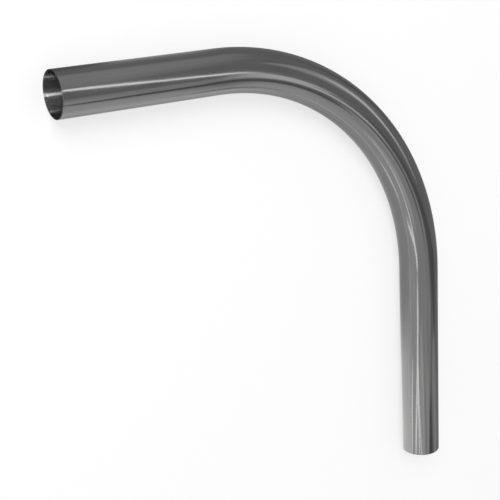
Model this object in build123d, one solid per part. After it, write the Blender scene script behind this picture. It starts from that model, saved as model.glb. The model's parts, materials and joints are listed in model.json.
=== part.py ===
from build123d import *
from math import cos, radians, sin, tan
import os

# Butt weld elbow: one length of thin stainless tube, drawn round a quarter turn on a long radius.
# A straight run of tube is left at each end, and both ends are cut square, so that the elbow is
# welded end to end into a line of the same tube.
# It lies on its side. The bend is in the level plane Z = 0, and the tube rests on its lowest line.
# Origin: the centre of the inlet end. The tube leaves it along +X and bends towards -Y.

# Driving dimensions, in millimetres and degrees
TUBE_OD = 104.0  # outside diameter of the tube
WALL = 2.0  # thickness of the straight tube
BEND_RADIUS = 600.0  # radius of the tube's axis in the bend
BEND_ANGLE = 90.0  # turn between the two straight runs
INLET_RUN = 390.0  # straight tube between the inlet end and the bend
OUTLET_RUN = 545.0  # straight tube between the bend and the outlet end
EDGE_BREAK = 0.2  # deburring of the inner and outer edge of each end

# Worked out from them
OUTER_RADIUS = TUBE_OD / 2
BORE_RADIUS = OUTER_RADIUS - WALL
HALF_TURN = radians(BEND_ANGLE / 2)
INLET_END = Vector(0, 0, 0)
INLET_DIRECTION = Vector(1, 0, 0)
OUTLET_DIRECTION = Vector(cos(2 * HALF_TURN), -sin(2 * HALF_TURN), 0)
DOWN = Vector(0, 0, -1)

# The two straight axes, carried on into the bend, cross at the corner of the elbow
SETBACK = BEND_RADIUS * tan(HALF_TURN)
CORNER = INLET_END + INLET_DIRECTION * (INLET_RUN + SETBACK)
OUTLET_END = CORNER + OUTLET_DIRECTION * (SETBACK + OUTLET_RUN)


def bore_bend_radius():
    """The radius of the bore's axis in the bend, a little less than the tube's.

    Bending stretches the wall on the outside of the bend and gathers it on the inside. Its
    thickness goes with one over the distance from the bend's centre. The bore keeps its size and
    drifts outwards, most at mid-bend: its axis is a tighter arc between the same straight axes.
    """
    mid_wall = OUTER_RADIUS - WALL / 2
    outside_wall = WALL * BEND_RADIUS / (BEND_RADIUS + mid_wall)
    inside_wall = WALL * BEND_RADIUS / (BEND_RADIUS - mid_wall)
    drift = (inside_wall - outside_wall) / 2
    print(f"wall at mid-bend: outside {WALL - drift:.2f}, inside {WALL + drift:.2f}")
    return BEND_RADIUS - drift / (1 / cos(HALF_TURN) - 1)


def section_plane(centre, direction):
    """The plane of a square section of the tube. The seam of what is drawn on it lies underneath."""
    return Plane(origin=centre, x_dir=DOWN, z_dir=direction)


def straight_bar(radius, start, end):
    """A round bar from one point to another."""
    run = end - start
    return extrude(section_plane(start, run) * Circle(radius), run.length)


def bent_bar(radius, bend_radius):
    """A round bar along the elbow's axis: straight, bend, straight.

    The bend is tangent to the same two straight axes whatever its radius, so that a tighter bend
    has longer straight runs.
    """
    setback = bend_radius * tan(HALF_TURN)
    bend_start = CORNER - INLET_DIRECTION * setback
    bend_end = CORNER + OUTLET_DIRECTION * setback
    bend_axis = Axis(bend_start - Vector(0, bend_radius, 0), DOWN)
    section = section_plane(bend_start, INLET_DIRECTION) * Circle(radius)
    bend = revolve(section, bend_axis, BEND_ANGLE)
    return straight_bar(radius, INLET_END, bend_start) + bend + straight_bar(radius, bend_end, OUTLET_END)


def elbow():
    """The bent tube with its bore, and both ends deburred."""
    tube = bent_bar(OUTER_RADIUS, BEND_RADIUS) - bent_bar(BORE_RADIUS, bore_bend_radius())
    end_faces = tube.faces().filter_by(GeomType.PLANE)
    return chamfer(end_faces.edges(), EDGE_BREAK)


part = elbow()
part.label = "elbow"
os.makedirs("parts", exist_ok=True)
export_step(part, "parts/elbow.step")

box = part.bounding_box()
print(f"size {box.size.X:.1f} x {box.size.Y:.1f} x {box.size.Z:.1f}, volume {part.volume:.0f}")
print(f"tube length along its axis {INLET_RUN + 2 * HALF_TURN * BEND_RADIUS + OUTLET_RUN:.1f}")
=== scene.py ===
# %% [markdown]
# # A butt weld elbow in drawn steel
# The object is one length of thin stainless tube, drawn round a quarter turn on a long radius.
# It lies on its side on a pale floor. Both ends are cut square, ready to be welded into a line of
# the same tube.
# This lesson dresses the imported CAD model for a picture. It makes the tube again as a finer mesh
# with Geometry Nodes, gives it a satin steel finish, and then builds the small studio whose tent,
# lamps and grey cloths the steel mirrors.

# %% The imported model
import json
import math

import bmesh
import bpy
import numpy as np
from mathutils import Matrix, Vector


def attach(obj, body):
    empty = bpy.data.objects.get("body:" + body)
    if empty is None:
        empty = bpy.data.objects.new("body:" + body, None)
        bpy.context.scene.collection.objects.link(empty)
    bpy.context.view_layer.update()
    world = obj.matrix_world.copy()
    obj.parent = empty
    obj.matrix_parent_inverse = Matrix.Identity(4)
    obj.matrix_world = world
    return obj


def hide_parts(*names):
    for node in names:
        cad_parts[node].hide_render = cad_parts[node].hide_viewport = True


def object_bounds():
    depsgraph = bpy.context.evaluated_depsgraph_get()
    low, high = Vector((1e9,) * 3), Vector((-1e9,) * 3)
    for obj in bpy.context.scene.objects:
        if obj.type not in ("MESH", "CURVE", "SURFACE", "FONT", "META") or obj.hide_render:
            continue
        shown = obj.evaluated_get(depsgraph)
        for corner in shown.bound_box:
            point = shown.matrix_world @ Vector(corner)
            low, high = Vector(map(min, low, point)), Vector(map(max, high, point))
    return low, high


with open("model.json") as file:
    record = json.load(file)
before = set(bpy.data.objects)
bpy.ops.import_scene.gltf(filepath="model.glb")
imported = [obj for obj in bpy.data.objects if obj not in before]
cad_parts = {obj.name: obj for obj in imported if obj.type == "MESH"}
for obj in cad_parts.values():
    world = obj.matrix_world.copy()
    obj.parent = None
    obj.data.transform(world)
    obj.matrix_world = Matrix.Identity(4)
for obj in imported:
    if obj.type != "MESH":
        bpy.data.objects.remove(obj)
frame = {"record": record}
cad_low, cad_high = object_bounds()
print("CAD box", tuple(cad_low), tuple(cad_high))

# %% [markdown]
# ## The camera
# The photograph looks steeply down on the elbow from the side of its open end. The place and the
# turn of the camera come from fitting the tube's outline, so they are given as plain vectors.
# The lens is a short telephoto on a sensor 36 mm wide, which keeps the far leg almost as wide as
# the near one.

# %% The camera
CAMERA_PLACE = Vector((-0.76272, 0.26290, 1.90535))
CAMERA_RIGHT = Vector((0.831699, -0.061331, 0.551830))
CAMERA_UP = Vector((0.211473, 0.953959, -0.212701))
CAMERA_LENS = 70.99
SENSOR_WIDTH = 36.0


def add_to_scene(name, data):
    """A new object that holds this data, linked to the scene."""
    made = bpy.data.objects.new(name, data)
    bpy.context.scene.collection.objects.link(made)
    return made


def make_camera():
    data = bpy.data.cameras.new("camera")
    data.sensor_width = SENSOR_WIDTH
    data.lens = CAMERA_LENS
    camera = add_to_scene("camera", data)
    back = CAMERA_RIGHT.cross(CAMERA_UP)
    turn = Matrix((CAMERA_RIGHT, CAMERA_UP, back)).transposed().to_4x4()
    camera.matrix_world = Matrix.Translation(CAMERA_PLACE) @ turn
    return camera


bpy.context.scene.camera = make_camera()
bpy.context.scene.view_settings.view_transform = "Standard"
print("camera at", tuple(CAMERA_PLACE), "lens", CAMERA_LENS)

# %% [markdown]
# ## Sums written as sums
# Shaders and Geometry Nodes both do arithmetic with Math nodes, which are hard to read as a list
# of nodes and links. The first class below wraps a socket, so that `1 - mask` adds its own Math
# node. Every other node comes from the one method `node` of the second class: settings first,
# then sockets.

# %% A socket that does arithmetic
class Wire:
    """An output socket of a node tree. Signs between wires, or a wire and a number, add nodes."""

    def __init__(self, tree, socket):
        self.tree = tree
        self.socket = socket

    def math(self, operation, *values):
        inputs = dict(enumerate(values))
        return self.tree.node("ShaderNodeMath", {"operation": operation}, inputs)

    def __add__(self, other):
        return self.math("ADD", self, other)

    __radd__ = __add__

    def __sub__(self, other):
        return self.math("SUBTRACT", self, other)

    def __rsub__(self, other):
        return self.math("SUBTRACT", other, self)

    def __mul__(self, other):
        return self.math("MULTIPLY", self, other)

    __rmul__ = __mul__

    def __truediv__(self, other):
        return self.math("DIVIDE", self, other)

    def __rtruediv__(self, other):
        return self.math("DIVIDE", other, self)

    def __pow__(self, other):
        return self.math("POWER", self, other)

    def __rpow__(self, other):
        return self.math("POWER", other, self)

    def __neg__(self):
        return self * -1

    # Python reflects these two into each other by itself
    def __gt__(self, other):
        return self.math("GREATER_THAN", self, other)

    def __lt__(self, other):
        return self.math("LESS_THAN", self, other)

    def cos(self):
        return self.math("COSINE", self)

    def sin(self):
        return self.math("SINE", self)

    def absolute(self):
        return self.math("ABSOLUTE", self)

    def at_least(self, other):
        return self.math("MAXIMUM", self, other)

    def at_most(self, other):
        return self.math("MINIMUM", self, other)


print("wires take + - * / ** > <")

# %% A tree that adds nodes
class Tree:
    """A node tree of any kind, with the one method that adds a node to it."""

    def __init__(self, tree):
        self.tree = tree

    def node(self, kind, settings=None, inputs=None, output=0):
        """Adds a node, with its settings first and its sockets next, and returns one output."""
        made = self.tree.nodes.new(kind)
        for name, value in (settings or {}).items():
            setattr(made, name, value)
        for name, value in (inputs or {}).items():
            if isinstance(value, Wire):
                self.tree.links.new(value.socket, made.inputs[name])
            else:
                made.inputs[name].default_value = value
        if made.outputs:
            return Wire(self, made.outputs[output])

    def outputs(self, wire, names):
        """Other outputs of the node that a wire comes from."""
        node = wire.socket.node
        return [Wire(self, node.outputs[name]) for name in names]

    def parts(self, vector):
        """The x, y and z of a vector, as three wires."""
        split = self.node("ShaderNodeSeparateXYZ", inputs={0: vector})
        return self.outputs(split, range(3))

    def vector(self, x, y, z):
        return self.node("ShaderNodeCombineXYZ", inputs={0: x, 1: y, 2: z})


def empty_shader(owner):
    """The node tree of a material or a world, with no node left in it."""
    owner.use_nodes = True
    owner.node_tree.nodes.clear()
    return Tree(owner.node_tree)


print("trees add nodes with", Tree.node.__name__)

# %% [markdown]
# ## The sizes of the tube
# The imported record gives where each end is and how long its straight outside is, so the picture
# can't drift from the CAD model. Bending stretches the wall on the outside of the bend and gathers
# it on the inside. The bore keeps its size, so its axis takes a slightly tighter turn than the
# tube's own, and lies a little further out in the middle of the bend.

# %% The sizes of the tube
MM = 0.001
EDGE_BREAK = 0.2 * MM
BEND_ANGLE = math.radians(90)
mounts = {mount["name"]: mount for mount in frame["record"]["mounts"]}
outside = mounts["inlet_outside"]["dims"]
tube_radius = outside["r_mm"] * MM
bore_radius = mounts["inlet_bore"]["dims"]["r_mm"] * MM
inlet_run = outside["length_mm"] * MM + EDGE_BREAK
outlet_run = mounts["outlet_outside"]["dims"]["length_mm"] * MM + EDGE_BREAK
outlet_end = Vector(mounts["outlet_outside"]["pos_m"])
bend_radius = outlet_end.x - inlet_run
axis_length = inlet_run + bend_radius * BEND_ANGLE + outlet_run
wall = tube_radius - bore_radius
mid_wall = tube_radius - wall / 2
thick = wall * bend_radius / (bend_radius - mid_wall)
thin = wall * bend_radius / (bend_radius + mid_wall)
bore_drift = (thick - thin) / 2
tighter_by = bore_drift / (1 / math.cos(BEND_ANGLE / 2) - 1)
print("runs", inlet_run, outlet_run, "bend radius", bend_radius, "axis", axis_length)
print("wall", wall, "bore drift at mid-bend", bore_drift, "bore's bend tighter by", tighter_by)

# %% [markdown]
# ## The tube, bent by its rule
# The real elbow starts as a straight blank that a machine draws round a former. Geometry Nodes
# can follow the same two steps. The outline of the wall, with its broken edges, is carried round
# a circle, which gives a straight blank that is closed inside, outside and at both ends. Then
# each point is moved by the rule of the bend: how far it was along the blank says how far round
# the turn it goes. A curve with a bevel would be quicker, but its wall would have one thickness
# and its ends would have no edges. The place on the straight blank is kept as an attribute,
# because the grain of the steel follows the blank and so it follows the bend.

# %% The inputs of the tube's tree
SIZES = {
    "Tube radius": tube_radius,
    "Wall": wall,
    "Inlet run": inlet_run,
    "Outlet run": outlet_run,
    "Bend radius": bend_radius,
    "Bend angle": BEND_ANGLE,
    "Tighter turn of the bore": tighter_by,
    "Edge break": EDGE_BREAK,
}
COUNTS = {"Around": 160, "Along": 220}


def new_tree(name, sizes, counts, material):
    """An empty Geometry Nodes tree with a named input for each size and count."""
    group = bpy.data.node_groups.new(name, "GeometryNodeTree")
    interface = group.interface
    for size in sizes:
        interface.new_socket(size, in_out="INPUT", socket_type="NodeSocketFloat")
    for count in counts:
        interface.new_socket(count, in_out="INPUT", socket_type="NodeSocketInt")
    interface.new_socket(material, in_out="INPUT", socket_type="NodeSocketMaterial")
    interface.new_socket("Geometry", in_out="OUTPUT", socket_type="NodeSocketGeometry")
    tree = Tree(group)
    names = [*sizes, *counts, material]
    entry = tree.node("NodeGroupInput")
    return tree, dict(zip(names, tree.outputs(entry, names)))


print("the tree takes", len(SIZES), "sizes and", len(COUNTS), "counts")

# %% The straight blank
def straight_blank(tree, given, length):
    """The wall's outline, carried round a circle: a straight tube along Z with its middle at 0."""
    outline = tree.node(
        "GeometryNodeCurvePrimitiveQuadrilateral",
        {"mode": "RECTANGLE"},
        {"Width": given["Wall"], "Height": length},
    )
    # The sides of the outline are numbered in turn, and the long ones are the odd ones
    side = tree.node("GeometryNodeInputIndex")
    is_long = side.math("MODULO", side, 2)
    outline = tree.node(
        "GeometryNodeSubdivideCurve",
        inputs={"Curve": outline, "Cuts": is_long * (given["Along"] - 1)},
    )
    place = tree.node("GeometryNodeInputPosition")
    height = tree.parts(place)[1]
    is_corner = height.absolute() > length / 2 - given["Edge break"]
    outline = tree.node(
        "GeometryNodeFilletCurve",
        {"mode": "POLY"},
        {"Curve": outline, "Count": 1, "Radius": is_corner * given["Edge break"]},
    )
    circle = tree.node(
        "GeometryNodeCurvePrimitiveCircle",
        {"mode": "RADIUS"},
        {"Resolution": given["Around"], "Radius": given["Tube radius"] - given["Wall"] / 2},
    )
    return tree.node(
        "GeometryNodeCurveToMesh", inputs={"Curve": circle, "Profile Curve": outline}
    )


print("a straight blank would be", axis_length, "m long")

# %% The rule of the bend
def bent_place(tree, given, length):
    """Where each point of the blank goes, and where it was on the blank as along, out and up."""
    place = tree.node("GeometryNodeInputPosition")
    out, up, height = tree.parts(place)
    along = height + length / 2
    inlet = given["Inlet run"]
    radius = given["Bend radius"]
    angle = given["Bend angle"]
    turn = ((along - inlet) / radius).at_least(0).at_most(angle)
    past = (along - inlet - radius * angle).at_least(0)
    half = angle / 2
    is_bore = (out * out + up * up) < (given["Tube radius"] - given["Wall"] / 2) ** 2
    drift = given["Tighter turn of the bore"] * ((turn - half).cos() / half.cos() - 1)
    reach = out + is_bore * drift
    x = along.at_most(inlet) + (radius + reach) * turn.sin() + past * turn.cos()
    y = (radius + reach) * turn.cos() - radius - past * turn.sin()
    return tree.vector(x, y, up), tree.vector(along, out, up)


print("the rule turns a blank by", math.degrees(BEND_ANGLE), "degrees")

# %% The whole tree of the tube
def elbow_tree():
    tree, given = new_tree("elbow_by_rule", SIZES, COUNTS, "Steel")
    length = given["Inlet run"] + given["Bend radius"] * given["Bend angle"] + given["Outlet run"]
    tube = straight_blank(tree, given, length)
    bent, blank = bent_place(tree, given, length)
    tube = tree.node(
        "GeometryNodeStoreNamedAttribute",
        {"data_type": "FLOAT_VECTOR", "domain": "POINT"},
        {"Geometry": tube, "Name": "blank", "Value": blank},
    )
    tube = tree.node("GeometryNodeSetPosition", inputs={"Geometry": tube, "Position": bent})
    tube = tree.node("GeometryNodeSetShadeSmooth", inputs={"Geometry": tube})
    tube = tree.node("GeometryNodeRealizeInstances", inputs={"Geometry": tube})
    tube = tree.node(
        "GeometryNodeSetMaterial", inputs={"Geometry": tube, "Material": given["Steel"]}
    )
    tree.node("NodeGroupOutput", inputs={0: tube})
    return tree.tree


tree_of_elbow = elbow_tree()
print("the tree of the tube has", len(tree_of_elbow.nodes), "nodes")

# %% [markdown]
# ## Satin steel
# The tube is stainless steel with a drawn, lightly polished skin. What the eye reads as steel is
# what it mirrors, so the colour stays plain and the surface does the work. Long streaks and broader
# bands run with the tube, soft clouds come from handling, and very slight ripples bend the mirrored
# lines. The cut rims are darker and duller, where the saw and the file have been.
# The bore carries fine grooves round the tube. They throw light along it, which is why lamps in
# front of the inlet show as lines in the bore: a smooth bore would send that light deeper in and
# look black. The grooves are finer than a pixel, so bumps can't draw them. Instead each point of
# the bore tilts its normal along the tube by its own random share of one tilt.
# A picture of brushed metal would stretch and show its joint. Noise on the place in the blank has
# no joint and turns with the bend.

# %% The colour and the gloss of the steel
STEEL_LEVEL = 0.25
STEEL_TINT = (1.0, 1.0, 0.995)
CLOUD_SHADE = 0.18
STREAK_SHADE = 0.20
BAND_SHADE = 0.26
CUT_SHADE = 0.45
STEEL_ROUGHNESS = 0.13
STREAK_ROUGHNESS = 0.08
CLOUD_ROUGHNESS = 0.06
BORE_ROUGHNESS = 0.05
CUT_ROUGHNESS = 0.25


def steel_colour(tree, clouds, streaks, bands, cut):
    shade = 1 + (clouds - 0.5) * CLOUD_SHADE + (streaks - 0.5) * STREAK_SHADE
    shade = shade + (bands - 0.5) * BAND_SHADE
    level = shade * (1 - cut * CUT_SHADE) * STEEL_LEVEL
    scaled = {0: STEEL_TINT, "Scale": level}
    return tree.node("ShaderNodeVectorMath", {"operation": "SCALE"}, scaled)


def steel_roughness(clouds, streaks, inside, cut):
    even = STEEL_ROUGHNESS + inside * BORE_ROUGHNESS + cut * CUT_ROUGHNESS
    return even + (streaks - 0.5) * STREAK_ROUGHNESS + (clouds - 0.5) * CLOUD_ROUGHNESS


print("steel at level", STEEL_LEVEL, "and roughness", STEEL_ROUGHNESS)

# %% The grooves in the bore
GROOVE_TILT = 1.2


def grooved_normal(tree, along, inside):
    """The surface's normal. In the bore, each place along the tube tilts it by its own amount, so
    that light is spread along the tube only."""
    grooves = tree.node("ShaderNodeTexWhiteNoise", {"noise_dimensions": "1D"}, {"W": along})
    tilt = (grooves - 0.5) * inside * GROOVE_TILT
    turn = ((along - inlet_run) / bend_radius).at_least(0).at_most(BEND_ANGLE)
    lengthwise = tree.vector(turn.cos() * tilt, -turn.sin() * tilt, 0)
    plain = tree.node("ShaderNodeNewGeometry", output="Normal")
    tilted = tree.node("ShaderNodeVectorMath", {"operation": "ADD"}, {0: plain, 1: lengthwise})
    return tree.node("ShaderNodeVectorMath", {"operation": "NORMALIZE"}, {0: tilted})


print("grooves add up to", GROOVE_TILT / 2, "of its length to the bore's normal")

# %% The steel
NOISE_ROUGHNESS = 0.55
CUT_DEPTH = 1.5 * EDGE_BREAK
RIPPLE_HEIGHT = 0.030
STREAK_HEIGHT = 0.0035


def steel_material():
    material = bpy.data.materials.new("satin_steel")
    tree = empty_shader(material)
    blank = tree.node("ShaderNodeAttribute", {"attribute_name": "blank"}, output="Vector")
    along, out, up = tree.parts(blank)

    def noise(lengthwise, across, detail, shift=0.0):
        """Noise from 0 to 1, with its own steps a metre along the tube and across it."""
        place = tree.vector(along * lengthwise + shift, out * across, up * across)
        inputs = {"Vector": place, "Scale": 1.0, "Detail": detail, "Roughness": NOISE_ROUGHNESS}
        return tree.node("ShaderNodeTexNoise", inputs=inputs)

    streaks = noise(lengthwise=2.5, across=260.0, detail=3.0)
    bands = noise(lengthwise=1.1, across=85.0, detail=2.0, shift=4.9)
    clouds = noise(lengthwise=9.0, across=14.0, detail=4.0, shift=7.7)
    ripples = noise(lengthwise=3.0, across=60.0, detail=1.0, shift=12.3)
    inside = (out * out + up * up) ** 0.5 < mid_wall
    cut = along.at_most(axis_length - along) < CUT_DEPTH

    # The heights are in millimetres, which is what the bump's distance says
    bump_inputs = {
        "Strength": 1.0,
        "Distance": MM,
        "Height": ripples * RIPPLE_HEIGHT + streaks * STREAK_HEIGHT,
        "Normal": grooved_normal(tree, along, inside),
    }
    steel_inputs = {
        "Base Color": steel_colour(tree, clouds, streaks, bands, cut),
        "Metallic": 1.0,
        "Roughness": steel_roughness(clouds, streaks, inside, cut),
        "Normal": tree.node("ShaderNodeBump", inputs=bump_inputs),
    }
    surface = tree.node("ShaderNodeBsdfPrincipled", inputs=steel_inputs)
    tree.node("ShaderNodeOutputMaterial", inputs={"Surface": surface})
    return material


steel = steel_material()
print("the steel has", len(steel.node_tree.nodes), "nodes")

# %% [markdown]
# ## The tube as a plain mesh
# The modifier gets its sizes by each socket's identifier, is worked out once, and the result is
# kept as a plain mesh. Faces that meet at more than a third of a right angle keep a crisp edge,
# which are the broken edges of the rims. The rest is smooth.

# %% The tube as a plain mesh
CRISP = math.radians(30)


def evaluated_mesh(name, group, values):
    """The mesh that a Geometry Nodes tree makes from these values, as a new object."""
    holder = add_to_scene(name, bpy.data.meshes.new(name + "_blank"))
    modifier = holder.modifiers.new("nodes", "NODES")
    modifier.node_group = group
    for item in group.interface.items_tree:
        if item.in_out == "INPUT":
            modifier[item.identifier] = values[item.name]
    seen = holder.evaluated_get(bpy.context.evaluated_depsgraph_get())
    mesh = bpy.data.meshes.new_from_object(seen)
    holder.modifiers.remove(modifier)
    mesh.name = name
    holder.data = mesh
    return holder


elbow = evaluated_mesh("elbow_tube", tree_of_elbow, {**SIZES, **COUNTS, "Steel": steel})
elbow.data.set_sharp_from_angle(angle=CRISP)
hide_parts("elbow")
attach(elbow, "root")
triangles = sum(len(face.vertices) - 2 for face in elbow.data.polygons)
print("tube of", len(elbow.data.vertices), "points and", triangles, "triangles")

# %% [markdown]
# ## Floor and light
# A white floor runs out on all sides. Part of its white is its own, for the camera and for what
# the steel mirrors, and the rest is lit, so that the tube keeps a soft shadow. The world is white
# in the same way. One broad lamp stands up and to the left of the picture.

# %% The floor
FLOOR_OWN = 0.66
FLOOR_LIT = 0.34
FLOOR_HALF = 40.0


def shown_ray(tree):
    """1 for rays that show the background itself: to the camera, in a mirror and through glass."""
    path = tree.node("ShaderNodeLightPath")
    names = ("Is Camera Ray", "Is Glossy Ray", "Is Transmission Ray")
    camera, glossy, transmission = tree.outputs(path, names)
    return camera.at_least(glossy).at_least(transmission)


def floor_material():
    material = bpy.data.materials.new("white_floor")
    tree = empty_shader(material)
    lit = tree.node("ShaderNodeBsdfDiffuse", inputs={"Color": (FLOOR_LIT,) * 3 + (1,)})
    own = tree.node("ShaderNodeEmission", inputs={"Strength": shown_ray(tree) * FLOOR_OWN})
    both = tree.node("ShaderNodeAddShader", inputs={0: lit, 1: own})
    tree.node("ShaderNodeOutputMaterial", inputs={"Surface": both})
    return material


def make_floor(height):
    corners = [(-1, -1), (1, -1), (1, 1), (-1, 1)]
    points = [(x * FLOOR_HALF, y * FLOOR_HALF, height) for x, y in corners]
    mesh = bpy.data.meshes.new("floor")
    mesh.from_pydata(points, [], [(0, 1, 2, 3)])
    mesh.materials.append(floor_material())
    add_to_scene("floor", mesh)


make_floor(cad_low.z)
print("floor at", cad_low.z)

# %% The world and the broad lamp
SKY_LEVEL = 0.62
LAMP_PLACE = Vector((-2.5, 3.5, 5.0))
LAMP_SIZE = 4.0
LAMP_POWER = 280.0


def make_world():
    world = bpy.data.worlds.new("studio")
    tree = empty_shader(world)
    shown = shown_ray(tree)
    strength = shown + (1 - shown) * SKY_LEVEL
    sky = tree.node("ShaderNodeBackground", inputs={"Color": (1, 1, 1, 1), "Strength": strength})
    tree.node("ShaderNodeOutputWorld", inputs={"Surface": sky})
    bpy.context.scene.world = world


def make_lamp(name, aim):
    data = bpy.data.lights.new(name, "AREA")
    data.shape = "DISK"
    data.size = LAMP_SIZE
    data.energy = LAMP_POWER
    lamp = add_to_scene(name, data)
    lamp.location = LAMP_PLACE
    lamp.rotation_euler = (aim - LAMP_PLACE).to_track_quat("-Z", "Y").to_euler()
    lamp.visible_camera = False
    lamp.visible_glossy = False


make_world()
make_lamp("broad_lamp", (cad_low + cad_high) / 2)
print("lamp of", LAMP_POWER, "W at", tuple(LAMP_PLACE))

# %% [markdown]
# ## The tent
# Bare metal is a picture of the room, so the room has to be built too. The tube lies in a large
# tent: light on the inner side of the bend and behind the camera, and grey on the outer side. A
# sphere of cloth is the simplest room with no corners, and smooth steps between its levels leave
# no edges for the steel to mirror. The tent, and the strips and cloths after it, are seen only in
# the steel: the camera and the floor don't see them.

# %% Things that only the steel sees
def only_mirrored(obj):
    """Leaves an object in the reflections of the steel and takes it out of all else."""
    obj.visible_camera = False
    obj.visible_diffuse = False
    obj.visible_transmission = False
    obj.visible_shadow = False
    obj.visible_volume_scatter = False


def glow(name, light):
    """A material that gives light: one strength all over, or what a function of a tree paints."""
    material = bpy.data.materials.new(name)
    tree = empty_shader(material)
    inputs = {"Color": light(tree)} if callable(light) else {"Strength": light}
    glowing = tree.node("ShaderNodeEmission", inputs=inputs)
    tree.node("ShaderNodeOutputMaterial", inputs={"Surface": glowing})
    return material


print("ready to hang things for", steel.name)

# %% The tent
TENT_RADIUS = 4.0
TENT_CENTRE = Vector((0.52, -0.55, 0.0))
TENT_HEM = -0.5
TENT_SEGMENTS = 96
OUTER_LEVEL = 0.36
INLET_LEVEL = 0.61
CAMERA_LEVEL = 0.90
INNER_LEVEL = 0.84
INNER_TOP_LEVEL = 0.66
INLET_FROM = (50, 70)
CAMERA_FROM = (95, 120)
INNER_UNTIL = (-60, -48)
TOP_FROM = (20, 50)


def smooth_step(value, low, high):
    """0 below low, 1 above high, and a soft rise between."""
    settings = {"interpolation_type": "SMOOTHSTEP"}
    inputs = {"Value": value, "From Min": low, "From Max": high}
    return value.tree.node("ShaderNodeMapRange", settings, inputs)


def tent_level(tree):
    """How bright the tent is, from how many degrees round and how many up its cloth hangs. Going
    round from the outer side come the side of the inlet run, the camera's and the inner side."""
    coordinates = tree.node("ShaderNodeTexCoord", output="Object")
    x, y, z = tree.parts(coordinates)
    degree = math.degrees(1)
    turn = x.math("ARCTAN2", y, x) * degree
    rise = x.math("ARCSINE", z / TENT_RADIUS) * degree
    inlet_side = smooth_step(turn, *INLET_FROM)
    camera_side = smooth_step(turn, *CAMERA_FROM)
    inner_side = 1 - smooth_step(turn, *INNER_UNTIL)
    top = smooth_step(rise, *TOP_FROM)
    level = OUTER_LEVEL + inlet_side * (INLET_LEVEL - OUTER_LEVEL)
    level = level + camera_side * (CAMERA_LEVEL - INLET_LEVEL)
    inner_level = INNER_LEVEL + top * (INNER_TOP_LEVEL - INNER_LEVEL)
    return level + inner_side * (inner_level - level)


def make_tent():
    mesh = bpy.data.meshes.new("tent")
    shell = bmesh.new()
    rings = TENT_SEGMENTS // 2
    bmesh.ops.create_uvsphere(
        shell, u_segments=TENT_SEGMENTS, v_segments=rings, radius=TENT_RADIUS
    )
    below = [vert for vert in shell.verts if vert.co.z < TENT_HEM]
    bmesh.ops.delete(shell, geom=below, context="VERTS")
    shell.to_mesh(mesh)
    shell.free()
    mesh.materials.append(glow("tent_cloth", tent_level))
    tent = add_to_scene("tent", mesh)
    tent.location = TENT_CENTRE
    only_mirrored(tent)


make_tent()
print("tent of", TENT_RADIUS, "m round", tuple(TENT_CENTRE))

# %% [markdown]
# ## The strips that the tube mirrors
# Long strip lamps hang between the tent and the tube. Each bright strip makes one of the fine
# lines that follow the bend, and a grey strip makes a dark one. Wide soft strips shade the bands
# between them. A strip can't be hung by eye, so each of its knots names the point of the tube
# where it should be seen, and the law of the mirror gives the direction. The distance is free,
# and is chosen so that the rest of the tube mirrors the strip as little as possible.

# %% A strip through its knots
STRIP_ROUNDNESS = 2
STRIP_STEPS = 8


def make_strip(name, strength, knots):
    """A round strip that follows a smooth line through knots of a place and a thickness."""
    curve = bpy.data.curves.new(name, "CURVE")
    curve.dimensions = "3D"
    # A bevel of 1 m lets each knot give its own radius in metres
    curve.bevel_depth = 1.0
    curve.bevel_resolution = STRIP_ROUNDNESS
    curve.resolution_u = STRIP_STEPS
    spline = curve.splines.new("BEZIER")
    spline.bezier_points.add(len(knots) - 1)
    for knot, (x, y, z, thickness) in zip(spline.bezier_points, knots):
        knot.co = (x, y, z)
        knot.radius = thickness / 2
        knot.handle_left_type = "AUTO"
        knot.handle_right_type = "AUTO"
    curve.materials.append(glow(name + "_glow", strength))
    only_mirrored(add_to_scene(name, curve))


print("a strip takes", STRIP_STEPS, "steps from knot to knot")

# %% Where the tube mirrors a strip
def turned(along):
    """How far the tube has turned at this place along its axis."""
    return min(max((along - inlet_run) / bend_radius, 0.0), BEND_ANGLE)


def beside_tube(along, out):
    """The x and y of a place, from how far along the tube's axis it is and how far outside it."""
    turn = turned(along)
    past = max(along - inlet_run - bend_radius * BEND_ANGLE, 0.0)
    reach = bend_radius + out
    x = min(along, inlet_run) + reach * math.sin(turn) + past * math.cos(turn)
    y = reach * math.cos(turn) - bend_radius - past * math.sin(turn)
    return x, y


def mirrored_knot(along, degrees, distance, width):
    """A knot of a strip, at the place that the camera sees mirrored in one point of the tube.
    The point is given by how far along the tube and how far round it it lies, in degrees from
    the outer side of the bend over the top. The width is in degrees too, seen from that point."""
    angle = math.radians(degrees)
    turn = turned(along)
    outward = Vector((math.sin(turn), math.cos(turn), 0.0))
    normal = outward * math.cos(angle) + Vector((0.0, 0.0, math.sin(angle)))
    x, y = beside_tube(along, tube_radius * math.cos(angle))
    point = Vector((x, y, tube_radius * math.sin(angle)))
    view = (CAMERA_PLACE - point).normalized()
    place = point + distance * (2 * normal.dot(view) * normal - view)
    return (*place, 2 * distance * math.tan(math.radians(width) / 2))


def hang_mirrored(strips):
    """Hangs strips that are given as a strength and knots of along, degrees, distance, width."""
    for name, (strength, knots) in strips.items():
        make_strip(name, strength, [mirrored_knot(*knot) for knot in knots])
    print("hung", *strips)


print("seen 1 m off in the top of the inlet:", mirrored_knot(0.0, 90.0, 1.0, 1.0)[:3])

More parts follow.
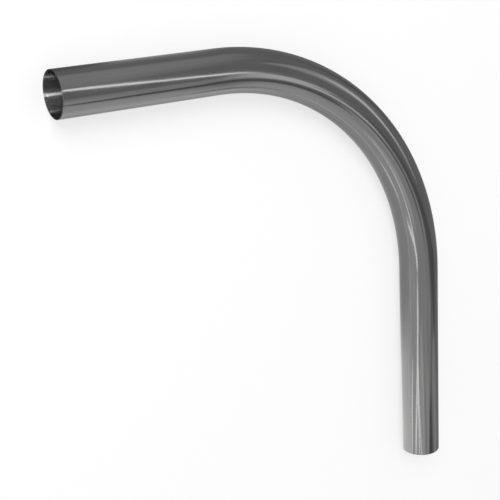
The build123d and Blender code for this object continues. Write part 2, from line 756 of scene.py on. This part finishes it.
# %% The strips that the inlet run mirrors
hang_mirrored({
    "strip_along_inlet": (3.3, [
        (0.00, 76.0, 3.6, 4.0), (0.06, 78.7, 3.4, 4.0), (0.15, 82.0, 3.0, 3.4),
        (0.20, 84.0, 2.8, 3.5), (0.30, 87.5, 2.4, 3.1), (0.34, 89.0, 2.3, 3.0),
        (0.42, 92.0, 2.0, 2.3), (0.48, 95.0, 1.8, 0.6),
    ]),
    "soft_beside_inlet": (0.62, [
        (0.00, 102.5, 3.3, 18.0), (0.06, 102.6, 3.3, 18.0), (0.20, 103.0, 3.2, 18.0),
        (0.34, 104.0, 3.0, 17.0), (0.48, 105.0, 2.6, 14.0), (0.56, 106.0, 2.4, 8.0),
    ]),
    "grey_strip_inlet": (0.18, [
        (0.00, 111.0, 3.9, 11.7), (0.06, 110.5, 3.9, 10.8), (0.20, 111.0, 3.9, 8.9),
        (0.34, 111.0, 3.7, 9.0), (0.48, 112.0, 3.4, 8.0), (0.62, 112.0, 3.2, 6.0),
        (0.76, 112.0, 3.1, 5.0), (0.83, 112.0, 3.0, 4.0),
    ]),
})

# %% The strips that the bend mirrors
hang_mirrored({
    "strip_round_bend": (1.45, [
        (0.40, 91.5, 2.1, 1.4), (0.45, 93.6, 1.9, 2.7), (0.52, 97.0, 1.6, 5.0),
        (0.60, 100.0, 1.4, 7.0), (0.71, 103.5, 1.1, 7.9), (0.76, 105.0, 0.95, 6.0),
        (0.79, 106.0, 0.86, 2.7),
    ]),
    "soft_over_bend": (0.72, [
        (0.485, 69.0, 2.2, 3.0), (0.56, 69.0, 2.2, 13.0), (0.62, 69.5, 2.2, 20.0),
        (0.70, 70.0, 2.2, 24.5), (0.76, 70.3, 2.2, 20.5), (0.855, 75.5, 2.2, 9.4),
        (0.96, 80.0, 2.2, 5.2),
    ]),
    "strip_over_bend": (1.7, [
        (0.64, 69.0, 1.5, 1.9), (0.70, 70.0, 1.5, 5.3), (0.76, 71.0, 1.5, 7.2),
        (0.86, 75.2, 1.5, 5.3), (0.96, 80.0, 1.5, 3.4), (1.06, 84.0, 1.5, 1.9),
    ]),
    "strip_inside_bend": (2.0, [
        (0.86, 131.0, 1.6, 1.4), (0.96, 132.6, 1.6, 3.6), (1.09, 135.6, 1.6, 3.2),
        (1.17, 136.0, 1.6, 0.7),
    ]),
    "grey_strip_bend": (0.22, [
        (0.80, 111.0, 1.0, 0.6), (0.86, 110.0, 1.0, 7.0), (0.96, 109.5, 1.0, 7.0),
        (1.04, 109.0, 1.0, 0.6),
    ]),
})

# %% The strips that the outlet run mirrors
hang_mirrored({
    "strip_over_outlet": (2.9, [
        (1.04, 135.0, 3.0, 0.6), (1.10, 136.0, 3.0, 2.1), (1.17, 136.7, 3.0, 3.1),
        (1.24, 137.0, 3.0, 3.2), (1.31, 135.5, 3.0, 3.4), (1.42, 135.1, 3.0, 3.4),
        (1.50, 136.5, 3.0, 3.4), (1.60, 138.3, 3.0, 3.3), (1.76, 143.8, 3.0, 3.1),
        (1.88, 148.0, 3.0, 3.1),
    ]),
    "grey_strip_outlet": (0.22, [
        (0.83, 103.0, 0.61, 3.8), (0.86, 100.4, 0.70, 10.7), (0.895, 100.6, 1.0, 14.3),
        (0.955, 99.5, 1.5, 11.4), (1.095, 98.0, 2.0, 12.0), (1.24, 92.0, 2.2, 12.0),
        (1.40, 80.0, 2.2, 11.4), (1.50, 78.0, 2.2, 9.3),
    ]),
    "soft_beyond_outlet": (0.80, [
        (1.40, 103.0, 2.6, 11.0), (1.50, 104.0, 2.6, 14.4), (1.60, 105.0, 2.6, 16.7),
        (1.71, 107.3, 2.8, 16.4), (1.80, 108.3, 2.85, 16.0),
    ]),
    "soft_left_of_outlet": (0.95, [
        (1.48, 127.0, 1.2, 6.2), (1.56, 127.0, 1.2, 16.2), (1.68, 126.0, 1.2, 22.0),
        (1.78, 125.0, 1.2, 24.0), (1.88, 125.0, 1.2, 24.0),
    ]),
    "strip_beside_outlet": (2.2, [
        (1.58, 153.0, 0.70, 2.5), (1.76, 157.0, 0.70, 6.6), (1.875, 158.0, 0.70, 4.9),
    ]),
    "soft_beside_outlet": (0.62, [
        (1.54, 86.0, 1.2, 10.0), (1.60, 86.0, 1.2, 25.8), (1.76, 80.0, 1.2, 22.0),
        (1.88, 78.0, 1.2, 22.0),
    ]),
})

# %% [markdown]
# ## The lamps in front of the bore
# Three light lines show in the open end. The grooves spread light along the bore, so a lamp's
# place decides only where round the bore its line lies. One lamp hangs high in front of the inlet
# for the middle line, and two lie low at its sides for the lines above and below it. A grey bar
# keeps the light side of the tent out of the bore. The law of the mirror doesn't help with light
# that is spread, so these places were found by trial and are given as plain x, y and z.

# %% The lamps in front of the bore
BORE_STRIPS = {
    "strip_into_inlet": (11.0, [
        (-0.24, 0.31, 2.92, 0.5), (-1.25, 0.28, 2.65, 0.5), (-2.44, 0.18, 1.66, 0.5),
    ]),
    "low_strip_inner_side": (5.0, [
        (-0.05, -0.72, 0.01, 0.10), (-0.50, -0.72, 0.01, 0.10), (-0.90, -0.60, 0.01, 0.10),
    ]),
    "low_strip_outer_side": (5.0, [
        (-0.05, 0.70, -0.02, 0.06), (-0.50, 0.70, -0.02, 0.06), (-0.90, 0.50, -0.02, 0.06),
    ]),
    "dark_into_inlet": (0.36, [
        (-0.08, -0.53, 0.44, 0.62), (-0.50, -0.53, 0.44, 0.62), (-1.10, -0.50, 0.40, 0.62),
    ]),
}
for strip_name, (strength, knots) in BORE_STRIPS.items():
    make_strip(strip_name, strength, knots)
print("hung", *BORE_STRIPS)

# %% [markdown]
# ## The cloths on the floor
# Over a floor that is all white, the lower half of the tube would be white too. In a real studio,
# grey cloths lie beside the object and give its lower sides their grey. Each cloth follows the
# tube and is painted from one level at its near edge to another at its far edge, so that the
# grey runs evenly over the steel. The inner one is painted dark along its near edge beside the
# inlet run and the bend: a painted contact shadow, which the steel mirrors. Beside the outlet run
# it is painted brighter than the floor, a painted light. The outer one is painted darker next to
# the tube than at its far edge, but for a lighter stretch along the inlet run. These two lie a
# little higher than the cloth under them.

# %% The cloths on the floor
CLOTH_STEP = 0.01
UNDER_LIFT = 0.5 * MM
TOP_LIFT = 1.0 * MM


def painted_level(tree):
    return tree.node("ShaderNodeAttribute", {"attribute_name": "level"}, output="Fac")


def make_cloth(name, lift, knots):
    """A cloth along the tube. A knot says how far along it is, how far out the near edge lies and
    how bright it is painted, and the same for the far edge."""
    table = np.array(knots)
    places = np.arange(table[0, 0], table[-1, 0], CLOTH_STEP)
    near, near_level, far, far_level = (np.interp(places, table[:, 0], row) for row in table.T[1:])
    points = []
    for along, *sides in zip(places, near, far):
        for out in sides:
            points.append((*beside_tube(along, out), cad_low.z + lift))
    rows = range(len(places) - 1)
    faces = [(2 * row, 2 * row + 1, 2 * row + 3, 2 * row + 2) for row in rows]
    mesh = bpy.data.meshes.new(name)
    mesh.from_pydata(points, [], faces)
    paint = mesh.attributes.new("level", "FLOAT", "POINT")
    paint.data.foreach_set("value", np.column_stack([near_level, far_level]).ravel())
    mesh.materials.append(glow(name + "_glow", painted_level))
    only_mirrored(add_to_scene(name, mesh))


CLOTHS = {
    "outer_cloth": (UNDER_LIFT, [
        (-1.5, 0.0, 0.36, 3.5, 0.58), (0.39, 0.0, 0.36, 3.5, 0.58),
        (0.80, 0.0, 0.30, 3.5, 0.38), (0.94, 0.0, 0.18, 3.5, 0.24),
        (1.05, 0.0, 0.20, 3.5, 0.26), (1.2, 0.0, 0.30, 3.5, 0.36), (3.0, 0.0, 0.30, 3.5, 0.36),
    ]),
    # Painted darker next to the tube than at its far edge, but for a lighter stretch along the
    # inlet run
    "outer_shade": (TOP_LIFT, [
        (-0.05, 0.0, 0.08, 0.17, 0.28), (0.12, 0.0, 0.10, 0.17, 0.32),
        (0.19, 0.0, 0.62, 0.17, 0.38), (0.36, 0.0, 0.62, 0.17, 0.36),
        (0.46, 0.0, 0.24, 0.20, 0.34), (3.0, 0.0, 0.24, 0.30, 0.36),
    ]),
    # Painted contact shadow: dark at the near edge beside the inlet run and the bend, then painted
    # light, brighter than the floor, beside the outlet run
    "inner_painted_shading": (TOP_LIFT, [
        (-0.3, -0.03, 0.32, -0.22, 0.95), (0.75, -0.03, 0.32, -0.22, 0.95),
        (1.0, -0.03, 0.70, -0.30, 0.80), (1.36, -0.03, 0.68, -0.30, 0.78),
        (1.45, -0.03, 0.72, -0.50, 0.72), (1.63, -0.03, 1.30, -0.60, 0.68),
        (1.80, -0.03, 1.52, -0.60, 1.00), (2.0, -0.03, 1.55, -0.80, 1.15),
        (2.2, -0.03, 1.55, -1.20, 1.10), (2.4, -0.03, 0.85, -1.20, 0.85),
        (4.0, -0.03, 0.85, -1.20, 0.85),
    ]),
}
for cloth_name, (lift, knots) in CLOTHS.items():
    make_cloth(cloth_name, lift, knots)
print("laid", *CLOTHS)
